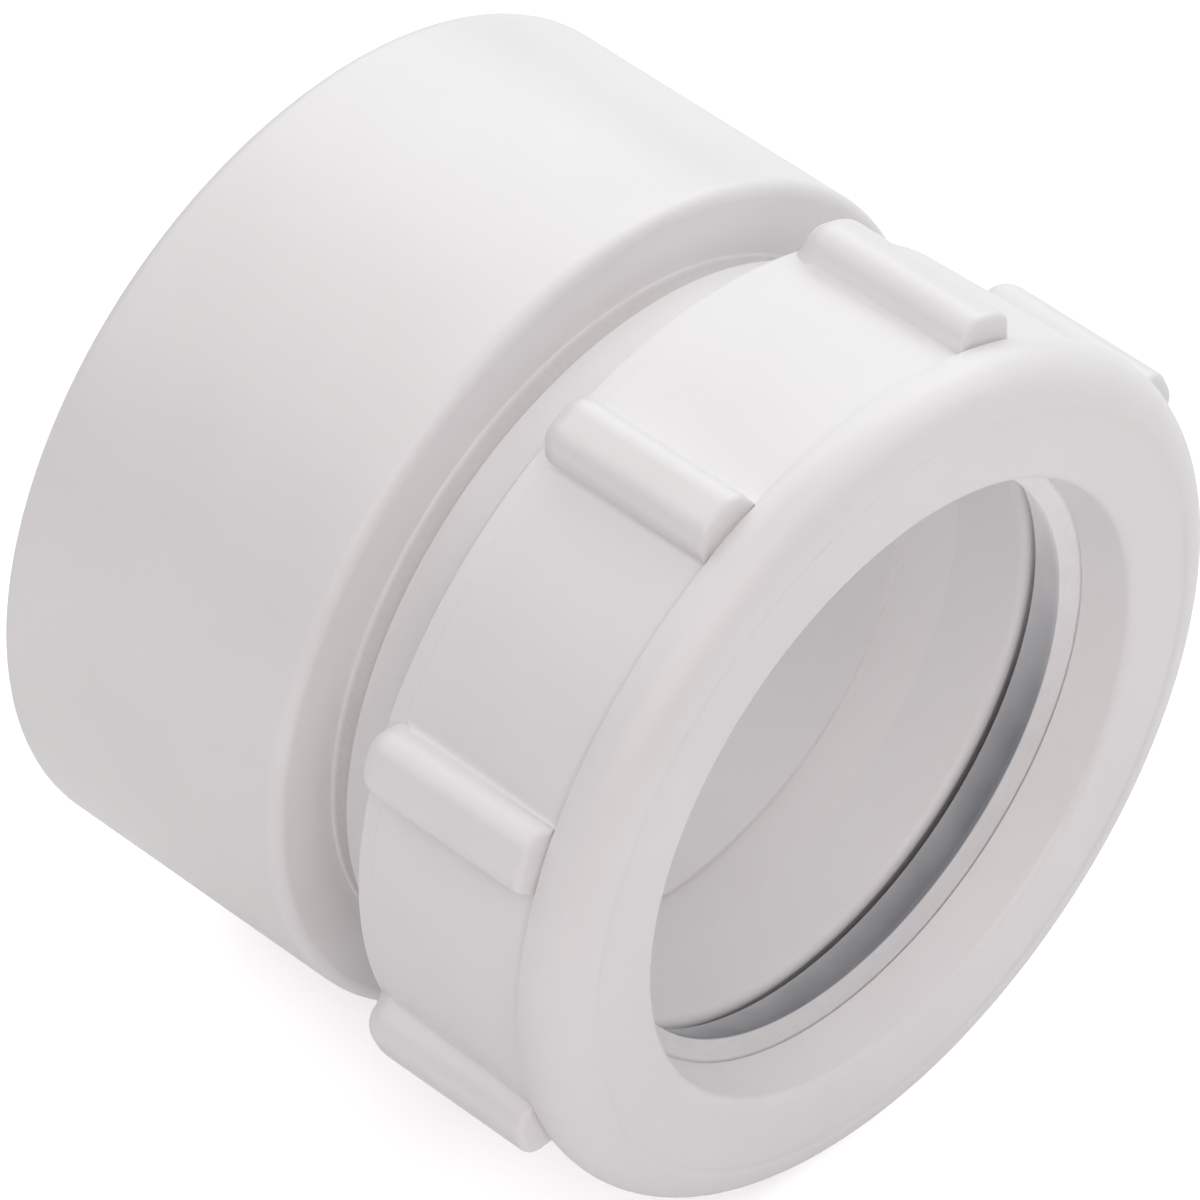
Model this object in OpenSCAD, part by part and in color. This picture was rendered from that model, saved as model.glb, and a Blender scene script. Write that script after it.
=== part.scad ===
// Solvent-weld to slip-joint adapter: a hubbed body, a ribbed slip nut and a bevelled slip washer.
// The bore axis is +X, from the centre of the hub's open end at the origin to the nut's mouth.

/* [Pipe side] */
// Outside diameter of the pipe that is cemented into the hub
pipe_d = 48.26; // [40:0.01:60]
// Radial gap between the pipe and the socket
socket_gap = 0.07; // [0.03:0.01:0.2]
// Depth of the pipe socket
socket_depth = 19; // [15:0.5:24]
// Thickness of the hub wall around the socket
hub_wall = 3.8; // [3:0.1:6]
// Thickness of material between the socket floor and the hub's front face
hub_web = 4; // [3:0.1:6]
// Radius on the hub's outer corners
hub_corner = 0.9; // [0.3:0.1:1.5]
// Chamfer at the socket's mouth
socket_chamfer = 0.8; // [0.3:0.1:1.5]

/* [Tube side] */
// Outside diameter of the drain tube that slips in
tube_d = 38.1; // [30:0.1:48]
// Radial gap between the tube and the slip bore
slip_gap = 0.75; // [0.4:0.05:1]
// Width of the ledge that stops the tube
stop_ledge = 0.65; // [0.4:0.05:1.5]
// Length of the taper that leads down to the stop
stop_taper = 3.2; // [2:0.1:5]
// Length of the threaded spigot in front of the hub
spigot_length = 15.8; // [13:0.1:22]
// Depth of the straight slip bore behind the mouth
slip_depth = 5.5; // [4:0.1:8]
// Radius on the mouth of the slip bore
mouth_round = 0.65; // [0.3:0.05:1]
// Thickness of the spigot wall under the thread
spigot_wall = 2.8; // [2:0.1:4]
// Width of the groove beside the hub
groove_width = 1.55; // [1:0.05:2.5]
// Depth of that groove below the thread's crest
groove_depth = 0.45; // [0.2:0.05:0.8]
// Width of the plain collar between groove and thread
collar_width = 2.5; // [1.5:0.1:4]

/* [Thread] */
// Pitch of the right-hand thread, 11.5 turns to the inch
pitch = 2.2087; // [1.5:0.0001:3]
// Radial gap between each crest and the root it faces
thread_gap = 0.35; // [0.2:0.05:0.5]
// Slope of each thread flank, in degrees
flank_angle = 30; // [20:1:32]

/* [Nut] */
// Thickness of the nut's skirt at its open end
nut_wall = 3.5; // [2.5:0.1:5]
// How much the skirt widens towards the front
nut_draft = 0.4; // [0.1:0.05:1]
// Length of the skirt behind the seat
skirt_length = 13.6; // [12:0.1:18]
// Thickness of the front wall
front_wall = 3.8; // [3:0.1:6]
// Radial gap between the tube and the nut's opening
opening_gap = 1.25; // [0.8:0.05:2]
// How much the opening widens towards the front
opening_draft = 0.5; // [0.1:0.05:1]
// Radius on the opening's front edge
opening_round = 0.6; // [0.2:0.1:1]
// Radius of the rounded front shoulder
shoulder_r = 2.9; // [2:0.1:3.5]
// How far the shoulder stands proud of the skirt
shoulder_step = 0.55; // [0.2:0.05:1]
// Depth of the flat ring sunk in the front face
front_dish = 0.12; // [0.05:0.01:0.4]
// Chamfer on the thread's open end
nut_chamfer = 0.7; // [0.3:0.1:1.2]

/* [Ribs] */
// Number of grip ribs around the skirt
rib_count = 8; // [6:1:12]
// Width of one rib
rib_width = 4.3; // [3:0.1:6]
// Height of a rib above the skirt's front end
rib_height = 2.1; // [1:0.1:3]
// Radius on the ribs' rear ends
rib_nose = 1.7; // [0.8:0.1:2]
// Radius along the ribs' top edges
rib_edge = 1.6; // [0.3:0.1:1.9]
// Gap between the skirt's open end and the ribs
rib_setback = 0.25; // [0.1:0.05:1]

/* [Washer] */
// Radial gap between the tube and the washer's ridge
washer_gap = 0.05; // [0.01:0.01:0.2]
// Thickness from the flat face to the nose
washer_length = 3.35; // [2.5:0.05:4.5]
// Width of the straight rim behind the flat face
washer_rim = 1.5; // [1:0.1:2]
// Radial gap between the washer and the nut's thread crest
rim_gap = 0.25; // [0.15:0.05:0.5]
// Height of the lead-in on the washer's flat side
lead_in = 1.05; // [0.5:0.05:1.5]
// Length of that lead-in
lead_length = 0.65; // [0.4:0.05:1.2]
// Width of the straight land that grips the tube
seal_land = 0.3; // [0.2:0.05:0.6]
// Height of the flare on the nose side
flare = 0.85; // [0.4:0.05:1.2]
// Radial thickness of the nose
nose_width = 0.6; // [0.4:0.05:1]

/* [Rest position] */
// Gap between the washer's nose and the spigot's end
seat_gap = 0.6; // [0.4:0.05:2]
// Gap between the washer's flat face and the nut's seat
face_gap = 0.05; // [0.03:0.01:0.1]

/* [Hidden] */
$fn = 96;

turn = 360;
thread_steps = 48;          // straight pieces in one turn of thread
runout_turn = 0.15;         // share of a turn over which a thread fades in or out
arc_steps = 5;              // straight pieces in a rounded corner
white_pvc = [0.93, 0.92, 0.92];
grey_poly = [0.63, 0.66, 0.69];

// Radii of the pipe side
socket_r = pipe_d / 2 + socket_gap;
hub_r = socket_r + hub_wall;
hub_length = socket_depth + hub_web;

// Radii of the tube side, from the tube outwards
tube_r = tube_d / 2;
water_r = tube_r - stop_ledge;
slip_r = tube_r + slip_gap;
stop_r = tube_r - stop_ledge / 2;
root_r = slip_r + spigot_wall;
thread_depth = 0.52 * pitch;
crest_flat = 0.22 * pitch;
thread_sink = 0.09 * pitch;
crest_r = root_r + thread_depth;
groove_r = crest_r - groove_depth;
end_chamfer = thread_depth;

// Places along the axis
spigot_end = hub_length + spigot_length;
collar_start = hub_length + groove_width;
collar_end = collar_start + collar_width;
slip_floor = spigot_end - slip_depth;
taper_floor = slip_floor - stop_taper;
washer_back = spigot_end + seat_gap;
washer_front = washer_back + washer_length;
seat_x = washer_front + face_gap;
nut_back = seat_x - skirt_length;
nut_front = seat_x + front_wall;

// The nut's inside takes its radii from the body's thread
nut_root_r = crest_r + thread_gap;
nut_crest_r = root_r + thread_gap;
skirt_back_r = nut_root_r + nut_wall;
skirt_front_r = skirt_back_r + nut_draft;
shoulder_max_r = skirt_front_r + shoulder_step;
opening_r = tube_r + opening_gap;
rib_r = skirt_front_r + rib_height;

// Both threads: the nut's ridge runs midway between two turns of the body's
flank_run = tan(flank_angle);
base_flat = crest_flat + 2 * (thread_depth + thread_sink) * flank_run;
male_start = collar_end + base_flat / 2;
male_turns = (spigot_end - end_chamfer - base_flat / 2 - male_start) / pitch;
nut_lead = nut_chamfer + base_flat / 2;
skipped = ceil((nut_back + nut_lead - male_start) / pitch - 0.5);
female_start = male_start + (skipped + 0.5) * pitch;
female_turns = (washer_front - washer_rim - female_start) / pitch;

// Points of an arc about [x, r], from angle a to angle b
function arc(x, r, radius, a, b) =
    [for (i = [0:arc_steps]) let (t = a + (b - a) * i / arc_steps)
        [x + radius * cos(t), r + radius * sin(t)]];

// Swaps [along, radius] points to the [radius, along] order that a revolved outline needs
function upright(points) = [for (p = points) [p[1], p[0]]];

// Turns a shape made about +Z so that its axis lies along +X
module along_x() {
    rotate([0, 90, 0]) children();
}

// Revolves an outline of [along, radius] points about the bore axis
module turned(points) {
    rotate_extrude() polygon(upright(points));
}

// How far a thread stands up, from 0 where it fades out to 1
function fade(t, turns) = min(1, t / runout_turn, (turns - t) / runout_turn);

// One helical ridge. The base circle is foot_r and the crest stands off it by rise, which is
// negative on an inside thread; sink buries the foot in the wall that carries the ridge
module ridge(start, turns, foot_r, rise, sink) {
    steps = ceil(turns * thread_steps);
    outward = rise > 0;
    foot = foot_r - sign(rise) * sink;
    height = abs(rise) + sink;
    rings = [for (i = [0:steps])
        let (t = turns * i / steps, grown = sink * 0.5 + (height - sink * 0.5) * max(0, fade(t, turns)))
        let (crest = foot + sign(rise) * grown, x = start + pitch * t)
        let (half_crest = crest_flat / 2 + (height - grown) * flank_run, half_foot = base_flat / 2)
        [for (p = [[foot, -half_foot], [crest, -half_crest], [crest, half_crest], [foot, half_foot]])
            [p[0] * cos(turn * t), p[0] * sin(turn * t), x + p[1]]]];
    points = [for (ring = rings) each ring];
    sides = [for (i = [0:steps - 1], k = [0:3])
        let (a = 4 * i + k, b = 4 * i + (k + 1) % 4, c = b + 4, d = a + 4)
        each [[a, b, c], [a, c, d]]];
    last = 4 * steps;
    ends = [[0, 2, 1], [0, 3, 2], [last, last + 1, last + 2], [last, last + 2, last + 3]];
    faces = concat(sides, ends);
    polyhedron(points, outward ? faces : [for (f = faces) [f[2], f[1], f[0]]]);
}

// Hub, groove, collar and threaded spigot in one moulding
module adapter_body() {
    outside = concat(
        arc(hub_corner, hub_r - hub_corner, hub_corner, 180, 90),
        arc(hub_length - hub_corner, hub_r - hub_corner, hub_corner, 90, 0),
        [[hub_length, groove_r], [collar_start, groove_r], [collar_start, crest_r], [collar_end, crest_r],
         [collar_end + thread_depth / 2, root_r], [spigot_end - end_chamfer / 2, root_r],
         [spigot_end, root_r - end_chamfer / 2]]);
    inside = concat(
        arc(spigot_end - mouth_round, slip_r + mouth_round, mouth_round, 0, -90),
        [[slip_floor, slip_r], [taper_floor, stop_r], [taper_floor, water_r], [socket_depth, water_r],
         [socket_depth, socket_r], [socket_chamfer, socket_r], [0, socket_r + socket_chamfer]]);
    color(white_pvc) along_x() {
        turned(concat(outside, inside));
        ridge(male_start, male_turns, root_r, thread_depth, thread_sink);
    }
}

// Bevelled washer: flat against the nut, its nose towards the spigot's mouth
module slip_washer() {
    ridge_r = tube_r + washer_gap;
    nose_r = ridge_r + flare;
    rim_r = nut_crest_r - rim_gap;
    outline = [
        [washer_back, nose_r], [washer_back, nose_r + nose_width], [washer_front - washer_rim, rim_r],
        [washer_front, rim_r], [washer_front, ridge_r + lead_in], [washer_front - lead_length, ridge_r],
        [washer_front - lead_length - seal_land, ridge_r]];
    color(grey_poly) along_x() turned(outline);
}

// Side outline of a rib, rounded at its rear end, from the skirt's middle out to the rib's top
module rib_side() {
    foot = nut_root_r + nut_wall / 2;
    start = nut_back + rib_setback;
    polygon(upright(concat(
        [[seat_x, foot], [start, foot]],
        arc(start + rib_nose, rib_r - rib_nose, rib_nose, 180, 90),
        [[seat_x, rib_r]])));
}

// End outline of a rib, rounded along both top edges
module rib_end() {
    foot = nut_root_r + nut_wall / 2;
    half = rib_width / 2;
    edge = min(rib_edge, half - 0.2, rib_r - foot - 0.4);
    polygon(concat(
        [[foot, -half]],
        arc(rib_r - edge, -half + edge, edge, -90, 0),
        arc(rib_r - edge, half - edge, edge, 0, 90),
        [[foot, half]]));
}

module rib() {
    intersection() {
        rotate([90, 0, 0]) linear_extrude(rib_width, center = true) rib_side();
        translate([0, 0, nut_back]) linear_extrude(seat_x - nut_back) rib_end();
    }
}

// Slip nut: internally threaded skirt, rounded front shoulder, open front wall and grip ribs
module slip_nut() {
    shoulder_x = nut_front - shoulder_r;
    shoulder_mid_r = shoulder_max_r - shoulder_r;
    opening_front_r = opening_r + opening_draft;
    face_x = nut_front - front_dish;
    outline = concat(
        [[nut_back, nut_root_r + nut_chamfer], [nut_back, skirt_back_r - 0.4], [nut_back + 0.4, skirt_back_r],
         [seat_x - 0.2, skirt_front_r]],
        arc(shoulder_x, shoulder_mid_r, shoulder_r, 105, 90),
        arc(shoulder_x, shoulder_mid_r, shoulder_r, 90, 0),
        [[face_x, shoulder_mid_r - front_dish]],
        arc(face_x - opening_round, opening_front_r + opening_round, opening_round, 0, -90),
        [[seat_x, opening_r], [seat_x, nut_root_r], [nut_back + nut_chamfer, nut_root_r]]);
    color(white_pvc) along_x() {
        turned(outline);
        ridge(female_start, female_turns, nut_root_r, -thread_depth, thread_sink);
        for (i = [0:rib_count - 1]) rotate([0, 0, (i + 0.5) * turn / rib_count]) rib();
    }
}

adapter_body();
slip_washer();
slip_nut();
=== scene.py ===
"""A slip-joint pipe adapter on a pale studio floor.

It has a hubbed body, a ribbed slip nut and a bevelled slip washer. All lengths are in metres.
"""

import logging
import math
from dataclasses import dataclass
from enum import Enum
from typing import Any, Callable, Sequence

import bmesh
import bpy
from mathutils import Matrix, Vector


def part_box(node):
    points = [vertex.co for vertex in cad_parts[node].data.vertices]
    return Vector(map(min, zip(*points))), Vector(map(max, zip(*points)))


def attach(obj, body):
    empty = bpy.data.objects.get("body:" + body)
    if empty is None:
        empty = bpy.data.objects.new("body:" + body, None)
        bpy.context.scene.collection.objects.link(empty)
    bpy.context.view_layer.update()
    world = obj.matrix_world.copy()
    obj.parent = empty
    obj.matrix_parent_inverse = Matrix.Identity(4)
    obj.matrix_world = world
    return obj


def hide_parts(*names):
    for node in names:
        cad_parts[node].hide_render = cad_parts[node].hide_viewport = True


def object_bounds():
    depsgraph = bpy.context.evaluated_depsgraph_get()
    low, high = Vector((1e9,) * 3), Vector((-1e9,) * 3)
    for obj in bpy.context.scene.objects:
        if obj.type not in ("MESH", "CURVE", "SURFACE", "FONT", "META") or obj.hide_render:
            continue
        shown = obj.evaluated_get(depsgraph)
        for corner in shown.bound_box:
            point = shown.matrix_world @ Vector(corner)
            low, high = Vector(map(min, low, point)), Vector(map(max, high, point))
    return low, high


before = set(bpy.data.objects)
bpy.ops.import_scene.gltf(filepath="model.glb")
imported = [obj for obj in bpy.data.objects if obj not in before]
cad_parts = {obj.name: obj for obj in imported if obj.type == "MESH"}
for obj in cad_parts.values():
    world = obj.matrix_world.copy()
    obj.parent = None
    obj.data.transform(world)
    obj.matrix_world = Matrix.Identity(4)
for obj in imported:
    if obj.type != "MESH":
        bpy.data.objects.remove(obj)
CAD_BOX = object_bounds()

log = logging.getLogger("adapter")

# Straight pieces in a full turn, and the distance within which two points are one.
SEGMENTS = 240
WELD = 2e-6

# Radii of the small roundings that a mould leaves on its edges.
CRISP = 0.00015
EASED = 0.0002
SOFT = 0.0003

# How far inside a square corner its rounding passes, as a share of the radius.
CORNER_CUT = 0.293

# Faces that meet at less than this are shaded as one, or are one flat face.
SMOOTH_BELOW = math.radians(38)
FLAT_BELOW = math.radians(2)

Tone = tuple[float, float, float]


class Part(Enum):
    """What a selection is made of."""

    VERTS = "VERT"
    EDGES = "EDGE"
    FACES = "FACE"


class Side(Enum):
    """Which way a thread stands off its wall."""

    OUT = 1.0
    IN = -1.0


@dataclass(frozen=True)
class Ring:
    """A circle of a turned outline, about the bore axis.

    Args:
        x: place along the axis.
        r: radius.
        rounding: radius of the rounded corner there.
        cuts: number of faces in that rounding.
    """

    x: float
    r: float
    rounding: float = 0.0
    cuts: int = 3


def reach(point: Vector) -> float:
    """Returns a point's distance from the bore axis."""
    return math.hypot(point.y, point.z)


def around(point: Vector) -> float:
    """Returns a point's angle about the bore axis from +Z, without its sign."""
    return abs(math.atan2(point.y, point.z))


def deselect() -> None:
    """Clears the selection, because an operator acts on all that is selected."""
    bpy.ops.object.select_all(action="DESELECT")


class Workpiece:
    """A mesh that is shaped in edit mode, with its selections made by place."""

    def __init__(self, name: str) -> None:
        """Takes over the primitive that was just added, puts its place in its mesh and opens it.

        Args:
            name: name of the object and its mesh.
        """
        self.piece = bpy.context.object
        self.piece.name = self.piece.data.name = name
        bpy.ops.object.transform_apply(location=True, rotation=True, scale=True)
        self.open()

    @classmethod
    def from_circle(cls, name: str, ring: Ring, span: float = math.tau) -> "Workpiece":
        """Starts a piece from one circle, or from the arc of it that is centred on +Z.

        Args:
            name: name of the object and its mesh.
            ring: the circle's place and radius.
            span: angle that is kept, in radians.

        Returns:
            The piece, open and selected all over.
        """
        deselect()
        bpy.ops.mesh.primitive_circle_add(
            vertices=SEGMENTS, radius=ring.r, location=(ring.x, 0, 0), rotation=(0, math.pi / 2, 0)
        )
        tool = cls(name)
        if span < math.tau:
            slack = 0.1 * math.tau / SEGMENTS
            half = span / 2 + slack
            tool.pick_verts(lambda p: around(p) > half)
            bpy.ops.mesh.delete(type="VERT")
        tool.pick_all()
        return tool

    def select(self) -> None:
        """Selects this piece alone and makes it active."""
        deselect()
        bpy.context.view_layer.objects.active = self.piece
        self.piece.select_set(True)

    def open(self) -> None:
        """Enters edit mode on this piece alone."""
        self.select()
        bpy.ops.object.mode_set(mode="EDIT")

    def close(self) -> None:
        """Leaves edit mode."""
        bpy.ops.object.mode_set(mode="OBJECT")

    def _pick(self, part: Part, test: Callable[[Any], bool]) -> int:
        """Selects what passes a test.

        Args:
            part: what is selected.
            test: takes a BMesh element.

        Returns:
            How many elements were selected.
        """
        bpy.ops.mesh.select_mode(type=part.value)
        bpy.ops.mesh.select_all(action="DESELECT")
        mesh = bmesh.from_edit_mesh(self.piece.data)
        items = {Part.VERTS: mesh.verts, Part.EDGES: mesh.edges, Part.FACES: mesh.faces}[part]
        chosen = [item for item in items if test(item)]
        for item in chosen:
            item.select_set(True)
        mesh.select_flush_mode()
        bmesh.update_edit_mesh(self.piece.data)
        return len(chosen)

    def pick_verts(self, test: Callable[[Vector], bool]) -> int:
        """Selects the points whose place passes a test, and returns how many."""
        return self._pick(Part.VERTS, lambda v: test(v.co))

    def pick_edges(self, test: Callable[[Vector, Vector], bool]) -> int:
        """Selects the edges whose two ends pass a test, and returns how many."""
        return self._pick(Part.EDGES, lambda e: test(e.verts[0].co, e.verts[1].co))

    def pick_faces(self, test: Callable[[Vector, Vector], bool]) -> int:
        """Selects the faces whose centre and normal pass a test, and returns how many."""
        return self._pick(Part.FACES, lambda f: test(f.calc_center_median(), f.normal))

    def pick_all(self) -> None:
        """Selects the whole mesh."""
        self.pick_verts(lambda p: True)

    def pick_ring(self, ring: Ring) -> None:
        """Selects the edges of one circle.

        Args:
            ring: the circle.
        """

        def on_ring(a: Vector, b: Vector) -> bool:
            """Returns whether both ends lie on the circle."""
            return all(abs(p.x - ring.x) < WELD and abs(reach(p) - ring.r) < WELD for p in (a, b))

        self.pick_edges(on_ring)

    def scale(self, x: float, y: float, z: float) -> None:
        """Scales the selection about the origin."""
        bpy.ops.transform.resize(value=(x, y, z), center_override=(0, 0, 0))

    def roll(self, angle: float) -> None:
        """Turns the selection about the bore axis."""
        bpy.ops.transform.rotate(value=angle, orient_axis="X", center_override=(0, 0, 0))

    def round_off(self, offset: float, cuts: int) -> None:
        """Rounds the selected edges, each face stepping back by the offset."""
        bpy.ops.mesh.bevel(offset=offset, segments=cuts, profile=0.5, clamp_overlap=False)

    def turn(self, rings: Sequence[Ring]) -> None:
        """Extrudes and scales the open circle from ring to ring, back to the first, and rounds the corners.

        Args:
            rings: the closed outline, the first being the circle that the piece started from.
        """
        nexts = [*rings[1:], rings[0]]
        for here, there in zip(rings, nexts):
            bpy.ops.mesh.extrude_region_move(TRANSFORM_OT_translate={"value": (there.x - here.x, 0, 0)})
            self.scale(1, there.r / here.r, there.r / here.r)
        self.weld()
        for before, ring, after in zip([rings[-1], *rings[:-1]], rings, nexts):
            if ring.rounding:
                arrive = math.atan2(ring.r - before.r, ring.x - before.x)
                leave = math.atan2(after.r - ring.r, after.x - ring.x)
                bend = abs(math.remainder(leave - arrive, math.tau))
                self.pick_ring(ring)
                self.round_off(ring.rounding * math.tan(bend / 2), ring.cuts)

    def cap(self) -> None:
        """Closes the open ends of a ridge."""
        self.pick_edges(lambda a, b: False)
        bpy.ops.mesh.select_non_manifold()
        bpy.ops.mesh.edge_face_add()

    def weld(self) -> None:
        """Merges the points that coincide and turns all faces outwards."""
        self.pick_all()
        bpy.ops.mesh.remove_doubles(threshold=WELD)
        self.pick_all()
        bpy.ops.mesh.normals_make_consistent(inside=False)

    def join(self, other: bpy.types.Object) -> None:
        """Unites another closed piece with this one, which is out of edit mode.

        Args:
            other: the other piece, which is removed.
        """
        union = self.piece.modifiers.new("union", "BOOLEAN")
        union.operation = "UNION"
        union.solver = "EXACT"
        union.object = other
        self.apply(union)
        bpy.data.objects.remove(other)

    def apply(self, modifier: bpy.types.Modifier) -> None:
        """Applies one modifier of this piece, which is out of edit mode."""
        self.select()
        bpy.ops.object.modifier_apply(modifier=modifier.name)

    def smooth(self) -> None:
        """Shades the gentle bends smooth, and keeps the large faces true beside them."""
        self.select()
        bpy.ops.object.shade_smooth_by_angle(angle=SMOOTH_BELOW)
        true = self.piece.modifiers.new("true faces", "WEIGHTED_NORMAL")
        true.mode = "FACE_AREA"
        true.weight = 100
        true.keep_sharp = True
        self.apply(true)


@dataclass(frozen=True)
class Thread:
    """A right-hand helical ridge with rounded crest corners, faded out at both ends.

    Args:
        start: place of its first section along the axis.
        turns: number of turns.
        foot_r: radius of the wall that it stands on.
        side: which way it stands off that wall.
        pitch: distance from turn to turn.
        depth: height of the crest above the wall.
        sink: how deep the foot is buried in the wall.
        crest_flat: width of the crest.
        flank: slope of the two sides, in radians.
        crest_round: rounding of the crest's corners.
        steps_per_turn: straight pieces in a turn.
        fade_turns: length of the fade at each end, in turns.
        fade_low: height of the very end above the foot, in sinks.
        crest_from: height above the foot from which a point belongs to the crest, in sinks.
    """

    start: float
    turns: float
    foot_r: float
    side: Side
    pitch: float = 0.0022087
    depth: float = 0.0011485
    sink: float = 0.0002
    crest_flat: float = 0.000486
    flank: float = math.radians(30)
    crest_round: float = 0.00014
    steps_per_turn: int = 72
    fade_turns: float = 0.18
    fade_low: float = 0.6
    crest_from: float = 1.5

    def build(self) -> bpy.types.Object:
        """Winds the ridge's section about the axis and fades its ends.

        Returns:
            The ridge as a closed piece, out of edit mode.
        """
        foot = self.foot_r - self.side.value * self.sink
        tool = self._section(foot)
        steps = math.ceil(self.turns * self.steps_per_turn)
        wind = tool.piece.modifiers.new("wind", "SCREW")
        wind.axis = "X"
        wind.angle = math.tau * self.turns
        wind.screw_offset = self.pitch * self.turns
        wind.steps = wind.render_steps = steps
        wind.use_smooth_shade = True
        tool.apply(wind)
        tool.open()
        self._fade(tool, foot, steps)
        tool.cap()
        tool.weld()
        # The section was drawn above the axis, and the ridge starts below it.
        tool.roll(math.pi)
        tool.close()
        return tool.piece

    def _section(self, foot: float) -> Workpiece:
        """Draws the ridge's section above the axis, as a closed line.

        Args:
            foot: radius of the ridge's foot.

        Returns:
            The section, out of edit mode.
        """
        rise = self.depth + self.sink
        half_foot = self.crest_flat / 2 + rise * math.tan(self.flank)
        deselect()
        bpy.ops.mesh.primitive_plane_add(size=1, rotation=(math.pi / 2, 0, 0))
        tool = Workpiece("thread_ridge")
        tool.pick_all()
        tool.scale(2 * half_foot, 1, rise)
        tool.pick_verts(lambda p: p.z * self.side.value > 0)
        tool.scale(self.crest_flat / (2 * half_foot), 1, 1)
        bpy.ops.mesh.bevel(offset=self.crest_round, segments=2, affect="VERTICES")
        tool.pick_all()
        bpy.ops.mesh.delete(type="ONLY_FACE")
        tool.pick_all()
        bpy.ops.transform.translate(value=(self.start, 0, foot + self.side.value * rise / 2))
        tool.close()
        return tool

    def _turned(self, point: Vector) -> float:
        """Finds how far along the ridge a point stands.

        Args:
            point: a point of the ridge, as it is wound.

        Returns:
            That distance, in turns.
        """
        rough = (point.x - self.start) / self.pitch
        angle = math.atan2(-point.y, point.z) / math.tau
        return angle + round(rough - angle)

    def _fade(self, tool: Workpiece, foot: float, steps: int) -> None:
        """Lowers the crest towards the ridge's two ends.

        Args:
            tool: the ridge, in edit mode.
            foot: radius of the ridge's foot.
            steps: number of straight pieces along the ridge.
        """
        length = self.turns / steps
        count = math.ceil(self.fade_turns / length)
        crest = foot + self.side.value * (self.depth + self.sink)
        low = self.sink * self.fade_low
        climb = self.depth + self.sink * (1 - self.fade_low)
        for index in range(count):
            scale = (foot + self.side.value * (low + climb * index / count)) / crest
            for place in (index * length, self.turns - index * length):

                def in_step(p: Vector, place: float = place) -> bool:
                    """Returns whether a point is on the crest of this step."""
                    lifted = (reach(p) - foot) * self.side.value > self.sink * self.crest_from
                    return lifted and abs(self._turned(p) - place) < length / 2

                if tool.pick_verts(in_step):
                    tool.scale(1, scale, scale)


@dataclass
class AdapterBody:
    """The body: hub with its pipe socket, groove, collar and threaded spigot."""

    hub_end: float = 0.0230
    hub_corner: float = 0.0009
    socket_r: float = 0.0242
    socket_floor: float = 0.0190
    socket_round: float = 0.0005
    socket_chamfer: float = 0.0008
    water_r: float = 0.0184
    water_round: float = 0.00014
    stop_x: float = 0.0301
    stop_r: float = 0.018725
    stop_round: float = 0.00017
    slip_x: float = 0.0333
    slip_r: float = 0.0198
    slip_round: float = 0.0006
    mouth_round: float = 0.00065
    groove_r: float = 0.0233
    collar_x: float = 0.02455
    collar_r: float = 0.02375
    collar_round: float = 0.00012
    collar_end: float = 0.02705
    root_r: float = 0.0226
    thread_start: float = 0.02807
    thread_turns: float = 3.876

    def _outline(self) -> list[Ring]:
        """Draws the outline that the body is turned from.

        Returns:
            The closed outline, from the hub's open end along the outside and back through the bore.
        """
        low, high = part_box("adapter_body")
        hub_r, end = high.z, high.x
        slope = (self.collar_r - self.root_r) / 2
        return [
            Ring(low.x, hub_r, self.hub_corner, 6),
            Ring(self.hub_end, hub_r, self.hub_corner, 8),
            Ring(self.hub_end, self.groove_r, CRISP),
            Ring(self.collar_x, self.groove_r, EASED),
            Ring(self.collar_x, self.collar_r, self.collar_round),
            Ring(self.collar_end, self.collar_r, EASED),
            Ring(self.collar_end + slope, self.root_r, SOFT),
            Ring(end - slope, self.root_r, EASED),
            Ring(end, self.root_r - slope, CRISP),
            Ring(end, self.slip_r, self.mouth_round, 6),
            Ring(self.slip_x, self.slip_r, self.slip_round),
            Ring(self.stop_x, self.stop_r, self.stop_round, 4),
            Ring(self.stop_x, self.water_r, self.water_round),
            Ring(self.socket_floor, self.water_r, SOFT),
            Ring(self.socket_floor, self.socket_r, self.socket_round, 4),
            Ring(self.socket_chamfer, self.socket_r, SOFT),
            Ring(low.x, self.socket_r + self.socket_chamfer, CRISP),
        ]

    def build(self) -> bpy.types.Object:
        """Turns the body and winds its thread.

        Returns:
            The finished mesh, without a finish on it.
        """
        rings = self._outline()
        tool = Workpiece.from_circle("adapter_hub", rings[0])
        tool.turn(rings)
        tool.close()
        ridge = Thread(self.thread_start, self.thread_turns, self.root_r, Side.OUT)
        tool.join(ridge.build())
        tool.smooth()
        return tool.piece


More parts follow.
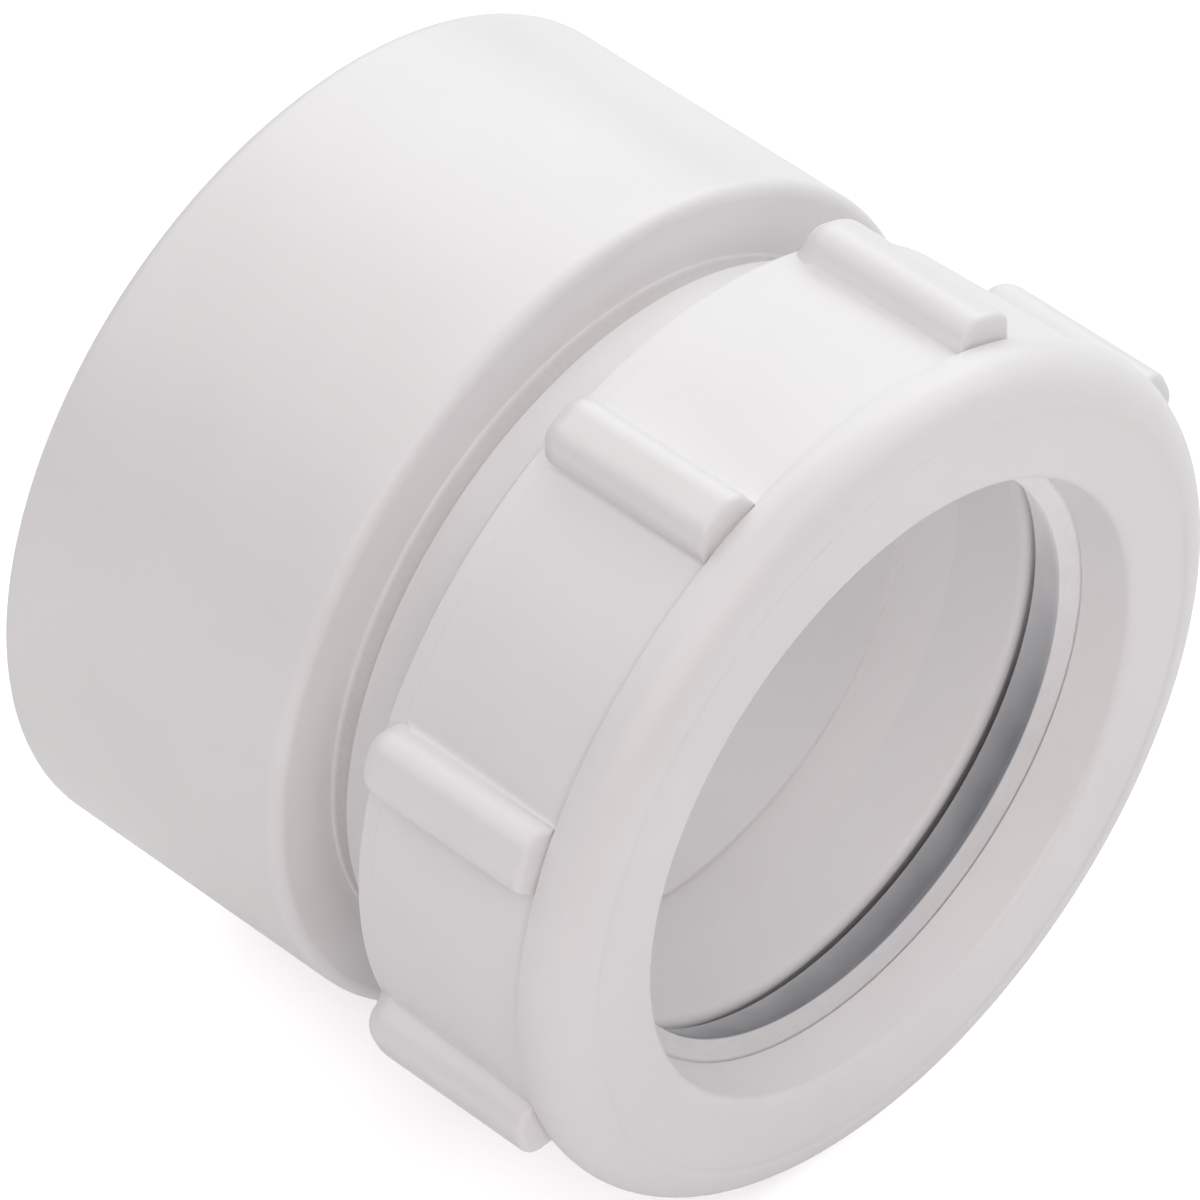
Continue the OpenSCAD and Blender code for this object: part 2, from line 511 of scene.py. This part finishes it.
@dataclass
class SlipNut:
    """The slip nut: threaded skirt, grip ribs, rounded shoulder and open front wall.

    The shoulder's arc is drawn from roll_from degrees, in roll_points points, roll_step degrees apart. The
    dish is a shallow step in the front face, dish_run times as wide as it is deep. The ribs are found within
    rib_near of the skirt's wall, and their long base edges within base_near of their sides.
    """

    seat_x: float = 0.0428
    seat_round: float = 0.00004
    thread_r: float = 0.0241
    thread_chamfer: float = 0.0007
    skirt_back_r: float = 0.0276
    skirt_front_r: float = 0.0280
    back_round: float = 0.00035
    crease_x: float = 0.0427
    shoulder_r: float = 0.0029
    roll_from: float = 105.0
    roll_step: float = 7.5
    roll_points: int = 15
    opening_back_r: float = 0.0203
    opening_front_r: float = 0.0208
    opening_round: float = 0.0006
    front_dish: float = 0.00012
    dish_run: float = 1.6
    rib_count: int = 8
    rib_strips: int = 6
    rib_top_r: float = 0.0301
    rib_nose: float = 0.0017
    rib_edge: float = 0.0016
    rib_front: float = 0.0005
    rib_step: float = 0.00022
    rib_fillet: float = 0.00035
    rib_near: float = 0.0002
    base_near: float = 0.0003
    base_length: float = 0.005
    thread_start: float = 0.03138
    thread_turns: float = 4.47

    def _outline(self) -> list[Ring]:
        """Draws the outline that the nut is turned from, ribs left out.

        Returns:
            The closed outline, from the skirt's open end along the outside and back through the bore.
        """
        low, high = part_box("slip_nut")
        back, front = low.x, high.x
        middle_x, middle_r = front - self.shoulder_r, high.z - self.shoulder_r
        roll = [math.radians(self.roll_from - self.roll_step * step) for step in range(self.roll_points)]
        face_x = front - self.front_dish
        cut = self.back_round * CORNER_CUT
        return [
            Ring(back, self.skirt_back_r - self.back_round),
            Ring(back + cut, self.skirt_back_r - cut),
            Ring(back + self.back_round, self.skirt_back_r),
            Ring(self.crease_x, self.skirt_front_r),
            *[
                Ring(middle_x + self.shoulder_r * math.cos(t), middle_r + self.shoulder_r * math.sin(t))
                for t in roll
            ],
            Ring(face_x, middle_r - self.front_dish * self.dish_run),
            Ring(face_x, self.opening_front_r, self.opening_round, 6),
            Ring(self.seat_x, self.opening_back_r, self.seat_round, 2),
            Ring(self.seat_x, self.thread_r, SOFT),
            Ring(back + self.thread_chamfer, self.thread_r, EASED),
            Ring(back, self.thread_r + self.thread_chamfer, EASED),
        ]

    def build(self) -> bpy.types.Object:
        """Models one sector with its rib, copies it round, and winds the thread.

        Returns:
            The finished mesh, without a finish on it.
        """
        rings = self._outline()
        sector = math.tau / self.rib_count
        tool = Workpiece.from_circle("ribbed_nut", rings[0], sector)
        tool.turn(rings)
        half = math.pi * self.rib_strips / SEGMENTS
        self._raise_rib(tool, half)
        self._round_rib(tool, half)
        tool.pick_all()
        tool.roll(sector / 2)
        copies = self.rib_count - 1
        bpy.ops.mesh.spin(steps=copies, dupli=True, angle=math.tau - sector, center=(0, 0, 0), axis=(1, 0, 0))
        tool.weld()
        tool.close()
        ridge = Thread(self.thread_start, self.thread_turns, self.thread_r, Side.IN)
        tool.join(ridge.build())
        tool.smooth()
        return tool.piece

    def _raise_rib(self, tool: Workpiece, half: float) -> None:
        """Raises the rib from the middle strips of the open sector's skirt, with a flat top.

        Args:
            tool: the sector, in edit mode, centred on +Z.
            half: half of the rib's angle, in radians.
        """
        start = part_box("slip_nut")[0].x + self.back_round
        foot_z = self.skirt_front_r + self.rib_near

        def on_foot(centre: Vector, normal: Vector) -> bool:
            """Returns whether a face belongs to the rib's foot."""
            on_skirt = start < centre.x < self.crease_x and reach(centre) > self.skirt_back_r - self.rib_near
            return on_skirt and around(centre) < half and normal.z > 0

        tool.pick_faces(on_foot)
        lift = self.rib_top_r - self.skirt_front_r
        bpy.ops.mesh.extrude_region_move(TRANSFORM_OT_translate={"value": (0, 0, lift)})
        bpy.ops.transform.resize(value=(1, 1, 0), center_override=(0, 0, self.rib_top_r))
        tool.pick_faces(lambda c, n: c.z > foot_z and around(c) < half * 1.1)
        bpy.ops.mesh.dissolve_limited(angle_limit=FLAT_BELOW)
        tool.pick_edges(lambda a, b: max(a.x, b.x) < start + WELD and min(a.z, b.z) > foot_z)
        tool.round_off(self.rib_nose, 8)

    def _round_rib(self, tool: Workpiece, half: float) -> None:
        """Rounds the rib's long top edges, its front end and its base.

        Args:
            tool: the sector, in edit mode, centred on +Z, with its rib raised.
            half: half of the rib's angle, in radians.
        """
        foot_z = self.skirt_front_r + self.rib_near
        side_y = self.skirt_back_r * math.sin(half) - self.rib_near / 4
        base_y = side_y + self.base_near

        def on_side(a: Vector, b: Vector) -> bool:
            """Returns whether an edge runs along one side of the rib's top and nose."""
            beside = min(abs(a.y), abs(b.y)) > side_y and a.y * b.y > 0
            return beside and max(a.z, b.z) > foot_z and min(a.x, b.x) < self.crease_x - WELD

        def at_crease(a: Vector, b: Vector) -> bool:
            """Returns whether an edge lies in the plane where the skirt meets the shoulder."""
            return max(abs(p.x - self.crease_x) for p in (a, b)) < WELD

        def on_step(a: Vector, b: Vector) -> bool:
            """Returns whether an edge joins the foot of the rib's front end to the shoulder."""
            return at_crease(a, b) and max(a.z, b.z) < foot_z and max(abs(a.y), abs(b.y)) < base_y

        def on_base(a: Vector, b: Vector) -> bool:
            """Returns whether an edge is a long one at the rib's foot."""
            low = max(a.z, b.z) < foot_z and abs(a.x - b.x) > self.base_length
            return low and side_y < abs(a.y) < base_y

        tool.pick_edges(on_side)
        tool.round_off(self.rib_edge, 6)
        tool.pick_edges(lambda a, b: at_crease(a, b) and min(a.z, b.z) > foot_z)
        tool.round_off(self.rib_front, 5)
        tool.pick_edges(on_step)
        tool.round_off(self.rib_step, 3)
        tool.pick_edges(on_base)
        tool.round_off(self.rib_fillet, 3)


@dataclass
class SlipWasher:
    """The bevelled slip washer, flat against the nut's seat."""

    rim: float = 0.0015
    rim_round: float = 0.00025
    ridge_x: float = 0.0421
    land: float = 0.0003
    ridge_r: float = 0.0191
    ridge_round: float = 0.00008
    lead_in_r: float = 0.02015
    lead_in_round: float = 0.00003
    nose_inner_r: float = 0.01995
    nose_outer_r: float = 0.02055

    def build(self) -> bpy.types.Object:
        """Turns the washer.

        Returns:
            The finished mesh, without a finish on it.
        """
        low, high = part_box("slip_washer")
        rings = [
            Ring(low.x, self.nose_inner_r, CRISP),
            Ring(low.x, self.nose_outer_r, CRISP),
            Ring(high.x - self.rim, high.z, self.rim_round),
            Ring(high.x, high.z, CRISP),
            Ring(high.x, self.lead_in_r, self.lead_in_round, 2),
            Ring(self.ridge_x, self.ridge_r, self.ridge_round, 2),
            Ring(self.ridge_x - self.land, self.ridge_r, self.ridge_round, 2),
        ]
        tool = Workpiece.from_circle("bevelled_washer", rings[0])
        tool.turn(rings)
        tool.close()
        tool.smooth()
        return tool.piece


class Wire:
    """One output of a node, with arithmetic that adds Math nodes."""

    def __init__(self, paint: "Paint", socket: bpy.types.NodeSocket) -> None:
        """Wraps a socket of a finish's node tree."""
        self.paint = paint
        self.socket = socket

    def _math(self, operation: str, *values: "Wire | float", clamp: bool = False) -> "Wire":
        """Adds one Math node.

        Args:
            operation: the node's operation.
            values: its inputs, in order.
            clamp: whether the result is held between 0 and 1.

        Returns:
            The node's result.
        """
        settings = {"operation": operation, "use_clamp": clamp}
        return self.paint.add("ShaderNodeMath", settings, dict(enumerate(values)))

    def __add__(self, other: "Wire | float") -> "Wire":
        """Adds."""
        return self._math("ADD", self, other)

    __radd__ = __add__

    def __mul__(self, other: "Wire | float") -> "Wire":
        """Multiplies."""
        return self._math("MULTIPLY", self, other)

    __rmul__ = __mul__

    def __sub__(self, other: "Wire | float") -> "Wire":
        """Subtracts."""
        return self._math("SUBTRACT", self, other)

    def __rsub__(self, other: "Wire | float") -> "Wire":
        """Subtracts this from a number."""
        return self._math("SUBTRACT", other, self)

    def root(self) -> "Wire":
        """Returns the square root."""
        return self._math("SQRT", self)

    def size(self) -> "Wire":
        """Returns the value without its sign."""
        return self._math("ABSOLUTE", self)

    def cosine(self) -> "Wire":
        """Returns the cosine."""
        return self._math("COSINE", self)

    def angle_from(self, other: "Wire") -> "Wire":
        """Returns the angle of the point (other, this), in radians."""
        return self._math("ARCTAN2", self, other)

    def above(self, edge: float, softness: float) -> "Wire":
        """Returns 0 below an edge and 1 above it, over a soft step."""
        return self._math("MULTIPLY", self - edge, 1 / softness, clamp=True)

    def between(self, start: float, end: float, softness: float) -> "Wire":
        """Returns 1 from a soft start to a soft end and 0 outside them."""
        return self.above(start, softness) * (1 - self.above(end, softness))


class Paint:
    """The node tree of one finish."""

    def __init__(self, name: str) -> None:
        """Makes an empty node material.

        Args:
            name: the material's name.
        """
        self.material = bpy.data.materials.new(name)
        self.material.use_nodes = True
        self.tree = self.material.node_tree
        self.tree.nodes.clear()

    def add(
        self,
        kind: str,
        settings: dict[str, Any] | None = None,
        sockets: dict[Any, Any] | None = None,
        out: Any = 0,
    ) -> Wire:
        """Adds one node.

        Args:
            kind: the node's type.
            settings: its properties.
            sockets: a value or a Wire for each input, by name or number.
            out: the output that is wanted.

        Returns:
            That output.
        """
        node = self.tree.nodes.new(kind)
        for key, value in (settings or {}).items():
            setattr(node, key, value)
        for key, value in (sockets or {}).items():
            if isinstance(value, Wire):
                self.tree.links.new(value.socket, node.inputs[key])
            else:
                node.inputs[key].default_value = value
        return Wire(self, node.outputs[out])

    def blend(self, share: Wire, first: Wire | Tone, second: Wire | Tone) -> Wire:
        """Mixes two colours.

        Args:
            share: how much of the second there is.
            first: the first colour.
            second: the second colour.

        Returns:
            The mix.
        """
        first, second = (end if isinstance(end, Wire) else (*end, 1) for end in (first, second))
        return self.add("ShaderNodeMix", {"data_type": "RGBA"}, {0: share, 6: first, 7: second}, 2)

    def place(self) -> Wire:
        """Returns the point on the piece."""
        return self.add("ShaderNodeTexCoord", out="Object")

    def coordinates(self) -> tuple[Wire, Wire, Wire, Wire]:
        """Splits the point on the piece.

        Returns:
            Its x, y, z and distance from the bore axis.
        """
        node = self.add("ShaderNodeSeparateXYZ", None, {"Vector": self.place()}).socket.node
        x, y, z = (Wire(self, output) for output in node.outputs)
        return x, y, z, (y * y + z * z).root()

    def noise(
        self,
        scale: float,
        detail: float = 2.0,
        roughness: float = 0.5,
        stretch: tuple[float, float, float] = (1, 1, 1),
    ) -> Wire:
        """Adds a noise.

        Args:
            scale: number of patches to the metre.
            detail: number of finer layers.
            roughness: strength of the finer layers.
            stretch: factors on the three axes.

        Returns:
            The noise, from 0 to 1.
        """
        point = self.add("ShaderNodeMapping", None, {"Vector": self.place(), "Scale": stretch})
        look = {"Vector": point, "Scale": scale, "Detail": detail, "Roughness": roughness}
        return self.add("ShaderNodeTexNoise", None, look)

    def specks(self, cell: float, size: float, share: float) -> Wire:
        """Scatters small specks.

        Args:
            cell: mean room of one speck.
            size: a speck's radius.
            share: how many of the rooms have a speck.

        Returns:
            A mask of the specks.
        """
        look = {"Vector": self.place(), "Scale": 1 / cell}
        gap = self.add("ShaderNodeTexVoronoi", None, look, "Distance")
        draw = self.add("ShaderNodeTexVoronoi", None, look, "Color")
        return (size / cell - gap).above(0, 0.2 * size / cell) * draw.above(1 - share, 0.01)

    def scratches(self, scale: float, width: float) -> Wire:
        """Draws fine wandering lines in a few places.

        Args:
            scale: number of bends to the metre.
            width: half of a line's width, as a share of the noise that it follows.

        Returns:
            A mask of the lines.
        """
        course = self.noise(scale, detail=1, roughness=0.4, stretch=(1.0, 1.6, 1.3))
        places = self.noise(scale * 0.7, detail=1, stretch=(1.3, 1.0, 1.0))
        return (width - (course - 0.5).size()).above(0, width) * places.above(0.6, 0.05)

    def bump(self, height: Wire, strength: float, distance: float) -> Wire:
        """Returns the normal of a surface with this relief."""
        relief = {"Strength": strength, "Distance": distance, "Height": height}
        return self.add("ShaderNodeBump", None, relief)

    def finish(self, look: dict[str, Any]) -> bpy.types.Material:
        """Ends the tree with one Principled shader.

        Args:
            look: a value or a Wire for each of the shader's sockets.

        Returns:
            The material.
        """
        shader = self.add("ShaderNodeBsdfPrincipled", None, look)
        end = self.tree.nodes.new("ShaderNodeOutputMaterial")
        self.tree.links.new(shader.socket, end.inputs["Surface"])
        return self.material


@dataclass(frozen=True)
class FineLine:
    """A fine darker line round the outside.

    Args:
        x: place along the axis.
        half_width: half of its width.
        strength: how much of the line's tone it takes.
    """

    x: float
    half_width: float
    strength: float


@dataclass(frozen=True)
class MouldedVinyl:
    """Satin white moulded vinyl, with faint mottling, scratches and specks.

    Args:
        name: the material's name.
        light: the lighter tone.
        dark: the darker tone, in soft patches.
        scratch: tone of the scratches.
        speck: tone of the specks.
        gloss: mean roughness.
        matt_shaded_band: start and end of a grainy band across the axis, with painted shade, or None.
        band_r: radius inside which that band shows.
        band: tone of the band's painted shade.
        lines: the fine lines round the outside.
        lines_r: radii between which those lines show.
        line: tone of the lines.
        ribs: number of ribs, which those lines leave out.
        crevice_shade: place and radius past which the end of a bore is darkened with painted shade, or None.
        crevice_shade_tone: tone of that painted shade.
    """

    name: str
    light: Tone = (0.885, 0.868, 0.872)
    dark: Tone = (0.862, 0.842, 0.846)
    scratch: Tone = (0.66, 0.63, 0.63)
    speck: Tone = (0.12, 0.11, 0.11)
    gloss: float = 0.36
    matt_shaded_band: tuple[float, float] | None = None
    band_r: float = 0.0237
    band: Tone = (0.56, 0.53, 0.53)
    lines: tuple[FineLine, ...] = ()
    lines_r: tuple[float, float] = (0.0272, 0.02815)
    line: Tone = (0.36, 0.33, 0.33)
    ribs: int = 0
    crevice_shade: tuple[float, float] | None = None
    crevice_shade_tone: Tone = (0.10, 0.10, 0.105)

    def make(self) -> bpy.types.Material:
        """Builds the material.

        Returns:
            The material.
        """
        paint = Paint(self.name)
        x, y, z, radius = paint.coordinates()
        patches = paint.noise(70, detail=3, roughness=0.55)
        grain = paint.noise(2600, roughness=0.6)
        ripple = paint.noise(420)
        scratches = paint.scratches(55, width=0.0016)
        specks = paint.specks(cell=0.0035, size=0.00016, share=0.12)
        colour = paint.blend(patches.above(0.35, 0.3), self.dark, self.light)
        colour = paint.blend(scratches * 0.14, colour, self.scratch)
        colour = paint.blend(specks * 0.7, colour, self.speck)
        roughness = self.gloss + (grain - 0.5) * 0.08 + (patches - 0.5) * 0.1 + scratches * 0.15
        height = grain * 0.25 + ripple * 0.75 - scratches * 0.35
        if self.matt_shaded_band:
            band = self._shaded_band(x, z, radius)
            # Painted shade darkens the groove band; its grain in roughness and relief is the surface's own.
            colour = paint.blend(band * (0.55 + grain * 0.45), colour, self.band)
            roughness = roughness + band * 0.25
            height = height + band * grain * 0.8
        if self.lines:
            skirt = self._skirt(y, z, radius) * (0.55 + ripple * 0.9)
            # Fine darker lines round the skirt; one of them can be painted shade in a crease.
            for line in self.lines:
                inside = x.between(line.x - line.half_width, line.x + line.half_width, 0.00005)
                colour = paint.blend(inside * skirt * line.strength, colour, self.line)
        if self.crevice_shade:
            # Painted shade: the end of the bore darkens behind the washer, most at the bottom.
            colour = paint.blend(self._crevice_shade(x, z, radius) * 0.45, colour, self.crevice_shade_tone)
        normal = paint.bump(height, strength=0.25, distance=0.00003)
        return paint.finish({"Base Color": colour, "Roughness": roughness, "IOR": 1.53, "Normal": normal})

    def _shaded_band(self, x: Wire, z: Wire, radius: Wire) -> Wire:
        """Masks the grainy band and its painted shade.

        Args:
            x: place along the axis.
            z: height.
            radius: distance from the axis.

        Returns:
            The mask, strongest at the bottom, where the painted shade is darkest.
        """
        start, end = self.matt_shaded_band
        # Painted shade: stronger towards the bottom.
        lower_shade = 0.6 + 0.4 * (z * -1).above(-0.015, 0.025)
        return x.between(start, end - 0.0002, 0.0004) * (self.band_r - radius).above(0, 0.0002) * lower_shade

    def _skirt(self, y: Wire, z: Wire, radius: Wire) -> Wire:
        """Masks the wall that the fine lines show on.

        Args:
            y: place across the axis.
            z: height.
            radius: distance from the axis.

        Returns:
            The mask, which leaves out the ribs.
        """
        between_ribs = (y.angle_from(z) * self.ribs).cosine().above(-0.8, 0.05)
        return radius.between(*self.lines_r, 0.0001) * between_ribs

    def _crevice_shade(self, x: Wire, z: Wire, radius: Wire) -> Wire:
        """Masks the painted shade at the end of the bore.

        Args:
            x: place along the axis.
            z: height.
            radius: distance from the axis.

        Returns:
            The mask, strongest at the bottom, where the painted shade is darkest.
        """
        start, edge_r = self.crevice_shade
        return x.above(start, 0.0001) * radius.above(edge_r, 0.0001) * (z * -1).above(-0.002, 0.014)


@dataclass(frozen=True)
class WasherPoly:
    """Frosted polyethylene: pale lead-in, blue-grey flare with painted shade darker at the bottom, and a
    painted glow for light shining through.

    Args:
        name: the material's name.
        lead_in: tone of the lead-in.
        rubbed: tone of the lead-in where it is rubbed.
        flare_top: tone of the flare where light reaches it.
        flare_shade: tone of the painted shade on the flare's lowest part, beside the ridge.
        nose_painted_shade: tone of the painted shade on the nose.
        through: tone of the painted glow that stands in for light coming through.
        glow: strength of that painted glow.
        nose_x: where the flare starts.
        ridge_x: where it meets the ridge.
        nose_r: radius outside which the nose gets painted shade.
    """

    name: str
    lead_in: Tone = (0.80, 0.785, 0.785)
    rubbed: Tone = (0.5, 0.5, 0.52)
    flare_top: Tone = (0.78, 0.78, 0.79)
    flare_shade: Tone = (0.235, 0.248, 0.27)
    nose_painted_shade: Tone = (0.012, 0.012, 0.014)
    through: Tone = (0.72, 0.71, 0.72)
    glow: float = 0.2
    nose_x: float = 0.0394
    ridge_x: float = 0.0418
    nose_r: float = 0.02035

    def make(self) -> bpy.types.Material:
        """Builds the material.

        Returns:
            The material.
        """
        paint = Paint(self.name)
        x, _, z, radius = paint.coordinates()
        cloud = paint.noise(300, detail=3)
        streaks = paint.noise(900, stretch=(6, 1, 1))
        bottom = (z * -1).above(-0.010, 0.020)
        deep = x.above(self.nose_x, self.ridge_x - self.nose_x)
        # Painted shade: the flare darkens towards the bottom and deeper in.
        flare = paint.blend(
            bottom * (0.6 + 0.4 * deep) + (cloud - 0.5) * 0.25, self.flare_top, self.flare_shade
        )
        kept = (1 - cloud * 0.25) * (1 - (streaks - 0.5) * 0.3)
        lead = paint.blend(1 - kept, self.lead_in, self.rubbed)
        colour = paint.blend(x.above(self.ridge_x + 0.00025, 0.00008), flare, lead)
        # Painted shade: the nose's outer edge goes near black at the bottom.
        nose = radius.above(self.nose_r, 0.0002) * (1 - x.above(self.nose_x + 0.0006, 0.0003))
        look = {
            "Base Color": paint.blend(nose * 0.95 * bottom, colour, self.nose_painted_shade),
            "Roughness": 0.32 + cloud * 0.12,
            "IOR": 1.5,
            "Normal": paint.bump(streaks, strength=0.2, distance=0.00002),
            # Painted glow, stronger towards the top, for light shining through the washer.
            "Emission Color": paint.blend(1 - bottom, (0, 0, 0), self.through),
            "Emission Strength": self.glow,
        }
        return paint.finish(look)


@dataclass(frozen=True)
class Softbox:
    """One soft square light that faces the part.

    Args:
        name: its name.
        right, up, back: its direction from the part, along the camera's axes.
        power: in watts.
        tint: its colour.
    """

    name: str
    right: float
    up: float
    back: float
    power: float
    tint: Tone


COOL: Tone = (0.97, 1.0, 0.995)
WARM: Tone = (1.0, 0.93, 0.935)


@dataclass
class Studio:
    """Floor, lights and camera. The camera's two angles are in degrees."""

    azimuth: float = 43.52
    elevation: float = 44.0
    distance: float = 0.59634
    shift_right: float = 0.000392
    shift_up: float = 0.000084
    lens: float = 300.0
    sensor: float = 36.0
    nearest: float = 0.01
    farthest: float = 20.0
    floor_side: float = 12.0
    floor_tone: Tone = (0.96, 0.96, 0.96)
    floor_glow: float = 0.5
    card_drop: float = 0.0002
    surroundings: float = 0.04
    box_distance: float = 0.9
    box_side: float = 0.9
    boxes: tuple[Softbox, ...] = (
        Softbox("top_left_softbox", -0.6, 0.75, 0.4, 2.9, COOL),
        Softbox("top_right_softbox", 0.6, 0.75, 0.4, 1.8, COOL),
        Softbox("front_softbox", 0.0, 0.0, 1.0, 4.1, WARM),
        Softbox("side_softbox", 0.55, -0.1, 0.85, 0.6, WARM),
        Softbox("far_softbox", 0.1, 0.9, -0.15, 3.8, COOL),
        Softbox("far_right_softbox", 0.75, 0.6, -0.15, 1.9, COOL),
    )

    def centre(self) -> Vector:
        """Returns the point that the camera and the lights face."""
        return Vector((AdapterBody.hub_end, 0, 0))

    def axes(self) -> tuple[Vector, Vector, Vector]:
        """Works out how the camera is turned.

        Returns:
            Its right, up and back directions.
        """
        turn, rise = math.radians(self.azimuth), math.radians(self.elevation)
        right = Vector((math.cos(turn), math.sin(turn), 0))
        back = Vector((math.sin(turn) * math.cos(rise), -math.cos(turn) * math.cos(rise), math.sin(rise)))
        return right, back.cross(right), back

    def camera(self) -> None:
        """Makes the camera."""
        right, up, back = self.axes()
        data = bpy.data.cameras.new("studio_camera")
        data.lens, data.sensor_width = self.lens, self.sensor
        data.clip_start, data.clip_end = self.nearest, self.farthest
        camera = bpy.data.objects.new("studio_camera", data)
        bpy.context.collection.objects.link(camera)
        spot = self.centre() + back * self.distance - right * self.shift_right + up * self.shift_up
        turned = Matrix((right, up, back)).transposed().to_4x4()
        camera.matrix_world = Matrix.Translation(spot) @ turned
        bpy.context.scene.camera = camera

    def plane(self, name: str, drop: float, glow: float) -> bpy.types.Object:
        """Lays one matt white plane under the part.

        Args:
            name: name of the plane and its material.
            drop: how far below the part it lies.
            glow: strength of its own light.

        Returns:
            The plane.
        """
        deselect()
        bpy.ops.mesh.primitive_plane_add(size=self.floor_side, location=(0, 0, CAD_BOX[0].z - drop))
        plane = bpy.context.object
        plane.name = name
        white = (*self.floor_tone, 1)
        look = {"Base Color": white, "Roughness": 0.9, "Emission Color": white, "Emission Strength": glow}
        plane.data.materials.append(Paint(name).finish(look))
        return plane

    def floor(self) -> None:
        """Lays the pale floor, and just below it the card that gives the light it throws back."""
        floor = self.plane("studio_floor", 0.0, self.floor_glow)
        floor.visible_diffuse = floor.visible_glossy = floor.visible_shadow = False
        card = self.plane("bounce_card", self.card_drop, 0.0)
        card.visible_camera = False

    def lights(self) -> None:
        """Hangs the soft lights and sets the pale surroundings."""
        right, up, back = self.axes()
        for box in self.boxes:
            way = box.right * right + box.up * up + box.back * back
            data = bpy.data.lights.new(box.name, "AREA")
            data.size, data.energy, data.color = self.box_side, box.power, box.tint
            light = bpy.data.objects.new(box.name, data)
            bpy.context.collection.objects.link(light)
            light.location = way.normalized() * self.box_distance + self.centre()
            light.rotation_euler = (self.centre() - light.location).to_track_quat("-Z", "Y").to_euler()
        world = bpy.data.worlds.new("pale_surroundings")
        world.use_nodes = True
        sky = world.node_tree.nodes["Background"]
        sky.inputs["Color"].default_value = (1, 1, 1, 1)
        sky.inputs["Strength"].default_value = self.surroundings
        bpy.context.scene.world = world
        bpy.context.scene.view_settings.view_transform = "Standard"

    def build(self) -> None:
        """Sets up the whole studio."""
        self.camera()
        self.floor()
        self.lights()


@dataclass(frozen=True)
class Fitting:
    """How one finished piece joins the frame.

    Args:
        piece: the piece.
        node: the solid that it stands for.
        body: the body that it moves with.
        slot: name of its material slot; not used.
        finish: what it is dressed in.
    """

    piece: bpy.types.Object
    node: str
    body: str
    slot: str
    finish: bpy.types.Material

    def fit(self) -> None:
        """Dresses the piece and puts it in place of its solid."""
        self.piece.data.materials.clear()
        self.piece.data.materials.append(self.finish)
        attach(self.piece, self.body)
        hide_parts(self.node)
        log.info("%s: %d faces, rides on %s", self.piece.name, len(self.piece.data.polygons), self.body)


def main() -> None:
    """Builds the studio and the three pieces."""
    logging.basicConfig(level=logging.INFO, format="%(name)s: %(message)s", force=True)
    Studio().build()
    # The body's finish paints shade in its groove band and at the end of its bore.
    body_vinyl = MouldedVinyl("body_vinyl", matt_shaded_band=(0.0230, 0.0245), crevice_shade=(0.03868, 0.0204))
    nut_vinyl = MouldedVinyl(
        "nut_vinyl",
        light=(0.888, 0.870, 0.876),
        # The first line is painted shade in the crease where the skirt meets the shoulder.
        lines=(FineLine(0.04277, 0.00007, 0.5), FineLine(0.0304, 0.00004, 0.06)),
        ribs=SlipNut.rib_count,
    )
    washer_poly = WasherPoly("washer_poly")
    Fitting(AdapterBody().build(), "adapter_body", "body", "body_pvc", body_vinyl.make()).fit()
    Fitting(SlipWasher().build(), "slip_washer", "washer", "washer_pe", washer_poly.make()).fit()
    Fitting(SlipNut().build(), "slip_nut", "nut", "nut_pvc", nut_vinyl.make()).fit()


if __name__ == "__main__":
    main()
